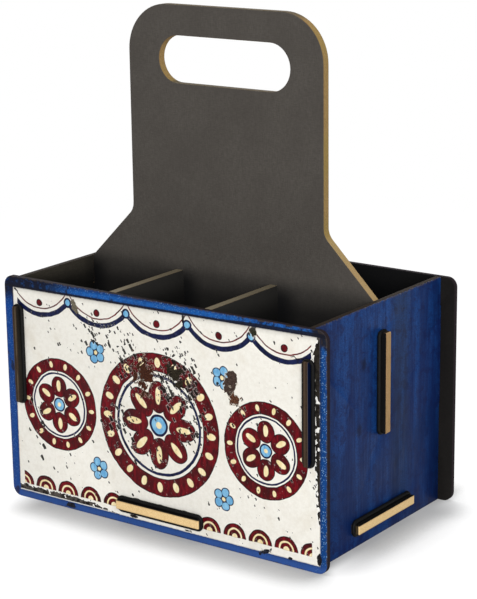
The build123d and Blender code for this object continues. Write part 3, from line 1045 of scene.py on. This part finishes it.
studio = {
    "floorSize": 6.0, "floorColor": 0.6, "fadeFrom": 0.42, "fadeTo": 0.9,
    "floorLit": 0.3, "floorGlow": 0.79, "endGlow": 0.1, "contactReach": 0.035, "worldLevel": 0.26,
    "lampAim": (0.0, 0.0, 0.12),
    "lamps": {
        "overhead": {"place": (0.0, 0.0, 2.3), "size": 1.0, "power": 15.0},
        "frontLamp": {"place": (1.75, -2.25, 1.05), "size": 1.6, "power": 78.0},
        "backLamp": {"place": (-1.75, 2.25, 1.05), "size": 1.6, "power": 42.0},
    },
}
bpy.ops.object.select_all(action="DESELECT")
bpy.ops.mesh.primitive_plane_add(size=studio["floorSize"], location=(0, 0, 0))
floor = bpy.context.object
floor.name = "studioFloor"
paper = bpy.data.materials.new("studioPaper")
paper.use_nodes = True
paper.node_tree.nodes.clear()
b = Bench(paper.node_tree)
x, y, z = b.split(b.add("ShaderNodeTexCoord").outputs["Object"])
matt = b.add("ShaderNodeBsdfDiffuse", None, {"Color": grey(studio["floorColor"])})
shown = b.add("ShaderNodeBsdfDiffuse", None, {"Color": grey(studio["floorLit"])})
# painted contact shadow: a soft dark line where the caddy stands, which fades out past its two ends, where
# the floor gets a little painted light
nearby = b.add("ShaderNodeAmbientOcclusion", {"samples": 12}, {"Distance": studio["contactReach"]})
contactShadow = b.calc("SMOOTH_MAX", b.calc("POWER", nearby.outputs["AO"], 3.0), 0.28, 0.08)
contactShadow = b.least(b.times(contactShadow, b.rise(contactShadow, 0.5, 0.75, 1.0, 1.13)), 1.0)
leftEnd = b.times(b.rise(x, -0.088, -0.118), b.rise(y, -0.03, -0.06))
rightEnd = b.times(b.rise(x, 0.108, b.rise(y, -0.06, -0.1, 0.118, 0.17)),
                   b.most(b.rise(y, -0.015, -0.085, 0.0, 0.9), b.rise(y, 0.045, 0.08, 0.0, 0.5)))
pastEnd = b.most(leftEnd, rightEnd)
contactShadow = b.scaled(b.without(contactShadow), pastEnd, contactShadow)
glow = b.scaled(contactShadow, studio["floorGlow"], b.times(pastEnd, studio["endGlow"]))
glow = b.add("ShaderNodeEmission", None, {"Color": grey(1.0), "Strength": glow})
white = b.add("ShaderNodeEmission", None, {"Color": grey(1.0), "Strength": 1.0})
lit = b.add("ShaderNodeAddShader", None, {0: shown.outputs[0], 1: glow.outputs[0]})
fade = b.rise(b.far(x, y, 0.0, 0.0), studio["fadeFrom"], studio["fadeTo"])
fading = b.add("ShaderNodeMixShader", None, {0: fade, 1: lit.outputs[0], 2: white.outputs[0]})
rays = b.add("ShaderNodeLightPath").outputs
seen = b.most(rays["Is Camera Ray"], rays["Is Glossy Ray"])
floorMix = b.add("ShaderNodeMixShader", None, {0: seen, 1: matt.outputs[0], 2: fading.outputs[0]})
b.add("ShaderNodeOutputMaterial", None, {"Surface": floorMix.outputs[0]})
dress(floor, paper)

world = bpy.data.worlds.new("studioWorld")
bpy.context.scene.world = world
world.use_nodes = True
world.node_tree.nodes.clear()
b = Bench(world.node_tree)
rays = b.add("ShaderNodeLightPath").outputs
seen = b.most(rays["Is Camera Ray"], rays["Is Transmission Ray"])
light = b.add("ShaderNodeBackground", None, {"Color": grey(1.0), "Strength": studio["worldLevel"]})
backdrop = b.add("ShaderNodeBackground", None, {"Color": grey(1.0), "Strength": 1.0})
skyMix = b.add("ShaderNodeMixShader", None, {0: seen, 1: light.outputs[0], 2: backdrop.outputs[0]})
b.add("ShaderNodeOutputWorld", None, {"Surface": skyMix.outputs[0]})

for name, spec in studio["lamps"].items():
    lamp = bpy.data.lights.new(name, "AREA")
    lamp.size = spec["size"]
    lamp.energy = spec["power"]
    holder = bpy.data.objects.new(name, lamp)
    holder.location = spec["place"]
    aim = Vector(studio["lampAim"]) - Vector(spec["place"])
    holder.rotation_euler = aim.to_track_quat("-Z", "Y").to_euler()
    bpy.context.collection.objects.link(holder)

photoView = {
    "place": (0.66811, -0.91110, 0.42726), "turn": (75.1262, 0.7296, 35.7708),
    "lens": 115.92, "sensor": 36,
}
camera = bpy.data.cameras.new("photoCamera")
camera.lens = photoView["lens"]
camera.sensor_width = photoView["sensor"]
viewer = bpy.data.objects.new("photoCamera", camera)
viewer.location = photoView["place"]
viewer.rotation_euler = [math.radians(part) for part in photoView["turn"]]
bpy.context.collection.objects.link(viewer)
bpy.context.scene.camera = viewer
bpy.context.scene.view_settings.view_transform = "Standard"
print("studio ready")
